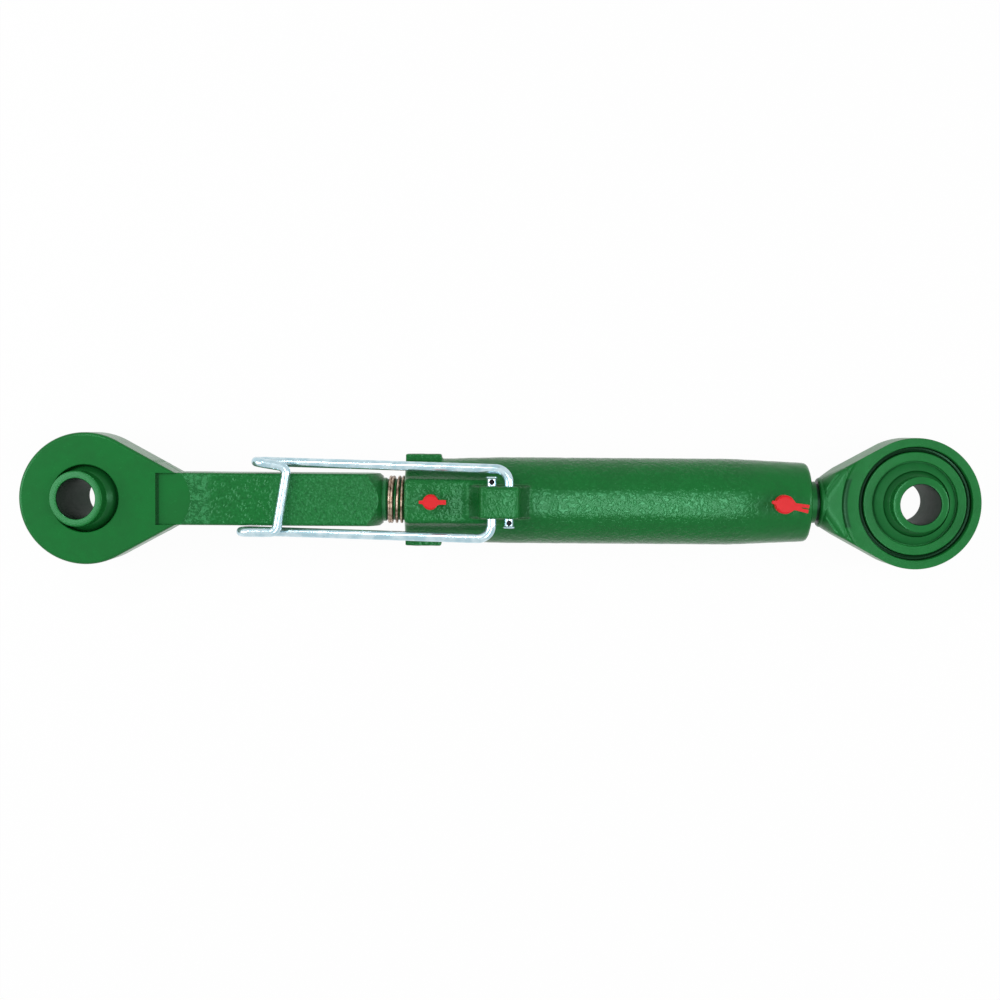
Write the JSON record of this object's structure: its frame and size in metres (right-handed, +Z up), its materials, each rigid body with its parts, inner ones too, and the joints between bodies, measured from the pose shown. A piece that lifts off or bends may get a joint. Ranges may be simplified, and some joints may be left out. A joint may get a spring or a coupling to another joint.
{
  "type": "tractor top link",
  "caption": "Adjustable tractor top link: a cast barrel turns on left-hand and right-hand screws, a swivelling ball sits in each eye, and a sprung wire locks the length.",
  "frame": {"origin": "midway between the two eyes, at the lowest point of the link as it lies", "axes": "+X along the link from the front eye (square bar) to the rear eye (round neck), +Z up out of the side that carries the lock wire's lug and the grease fittings"},
  "size_m": [0.6126, 0.084, 0.0689],
  "materials": {
    "green_paint": "gloss green enamel over cast and forged steel, with the casting's grain showing",
    "zinc_plate": "bright bluish zinc plating on drawn wire and turned steel",
    "spring_steel": "bare spring wire, bronze brown",
    "bright_steel": "polished hardened steel",
    "red_plastic": "soft moulded plastic, signal red"
  },
  "bodies": {
    "front_screw": {"front_screw": "green_paint"},
    "thread_spring": {"thread_spring": "spring_steel"},
    "barrel": {"barrel": "green_paint", "front_grease_fitting": "zinc_plate", "rear_grease_fitting": "zinc_plate", "front_check_ball": "bright_steel", "rear_check_ball": "bright_steel", "front_check_spring": "bright_steel", "rear_check_spring": "bright_steel"},
    "rear_screw": {"rear_screw": "green_paint"},
    "front_ball": {"front_ball": "green_paint"},
    "rear_ball": {"rear_ball": "green_paint"},
    "lock_wire": {"lock_wire": "zinc_plate"},
    "front_grease_cap": {"front_grease_cap": "red_plastic"},
    "rear_grease_cap": {"rear_grease_cap": "red_plastic"}
  },
  "joints": [
    {"name": "barrel_travel", "type": "slide", "parent": "front_screw", "child": "thread_spring", "axis": [1, 0, 0], "range_m": [0, 0.06]},
    {"name": "barrel_turn", "type": "hinge", "parent": "thread_spring", "child": "barrel", "pos_m": [0, 0, 0.02786], "axis": [-1, 0, 0], "range_deg": [0, 7200]},
    {"name": "rear_screw_travel", "type": "slide", "parent": "thread_spring", "child": "rear_screw", "axis": [1, 0, 0], "range_m": [0, 0.06]},
    {"name": "front_ball_swivel", "type": "hinge", "parent": "front_screw", "child": "front_ball", "pos_m": [-0.26425, 0, 0.02786], "axis": [0, 1, 0], "range_deg": [0, 19]},
    {"name": "rear_ball_swivel", "type": "hinge", "parent": "rear_screw", "child": "rear_ball", "pos_m": [0.26425, 0, 0.02786], "axis": [0, 1, 0], "range_deg": [-9.5, 9.5]},
    {"name": "lock_wire_swing", "type": "hinge", "parent": "barrel", "child": "lock_wire", "pos_m": [-0.0007, 0, 0.06186], "axis": [0, 1, 0], "range_deg": [0, 180], "deforming": ["lock_wire"]},
    {"name": "front_cap_lift", "type": "slide", "parent": "barrel", "child": "front_grease_cap", "axis": [0, 0, 1], "range_m": [0, 0.02]},
    {"name": "rear_cap_lift", "type": "slide", "parent": "barrel", "child": "rear_grease_cap", "axis": [0, 0, 1], "range_m": [0, 0.02]}
  ],
  "couplings": [
    {"joint": "barrel_travel", "follows": "barrel_turn", "m_per_rad": 0.00047746},
    {"joint": "rear_screw_travel", "follows": "barrel_turn", "m_per_rad": 0.00047746}
  ]
}
